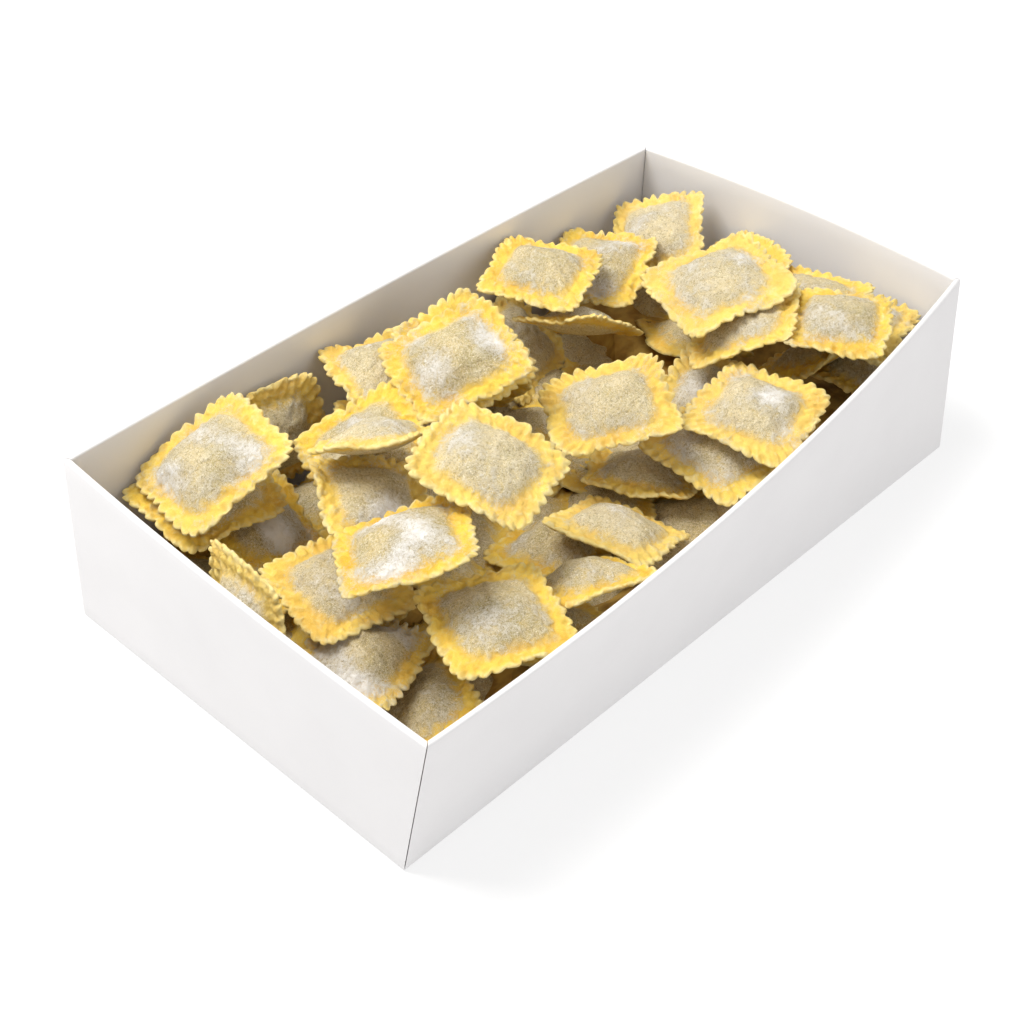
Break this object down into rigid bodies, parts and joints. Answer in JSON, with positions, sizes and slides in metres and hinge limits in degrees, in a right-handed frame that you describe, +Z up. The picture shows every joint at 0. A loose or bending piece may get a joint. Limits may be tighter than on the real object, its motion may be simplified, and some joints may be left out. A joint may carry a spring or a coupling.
{
  "type": "box of ravioli",
  "caption": "Open white card tray heaped with square fluted ravioli, each with a crimped edge and a filled pillow.",
  "frame": {"origin": "centre of the tray's underside", "axes": "+X along the tray's long side, +Y towards its back wall, +Z up out of the open top"},
  "size_m": [0.3146, 0.178, 0.0935],
  "materials": {
    "white_card": "smooth matt white paperboard",
    "egg_dough": "matt egg dough dusted with flour",
    "buried_dough": "matt dough in shade"
  },
  "bodies": {
    "root": {"box": "white_card", "raviolo_01": "egg_dough", "raviolo_02": "egg_dough", "raviolo_03": "egg_dough", "raviolo_04": "egg_dough", "raviolo_05": "egg_dough", "raviolo_06": "egg_dough", "raviolo_07": "egg_dough", "raviolo_08": "egg_dough", "raviolo_09": "egg_dough", "raviolo_10": "egg_dough", "raviolo_11": "egg_dough", "raviolo_12": "egg_dough", "raviolo_13": "egg_dough", "raviolo_14": "egg_dough", "raviolo_15": "egg_dough", "raviolo_16": "egg_dough", "raviolo_17": "egg_dough", "raviolo_18": "egg_dough", "raviolo_19": "egg_dough", "raviolo_20": "egg_dough", "raviolo_21": "egg_dough", "raviolo_22": "egg_dough", "raviolo_23": "egg_dough", "raviolo_24": "egg_dough", "raviolo_25": "egg_dough", "raviolo_26": "egg_dough", "raviolo_27": "egg_dough", "raviolo_28": "egg_dough", "raviolo_29": "egg_dough", "raviolo_30": "egg_dough", "raviolo_31": "egg_dough", "raviolo_32": "egg_dough", "raviolo_33": "egg_dough", "raviolo_34": "egg_dough", "raviolo_35": "egg_dough", "raviolo_36": "egg_dough", "raviolo_37": "egg_dough", "raviolo_38": "egg_dough", "raviolo_39": "egg_dough", "raviolo_40": "egg_dough", "raviolo_41": "egg_dough", "lower_ravioli": "buried_dough"}
  },
  "joints": []
}
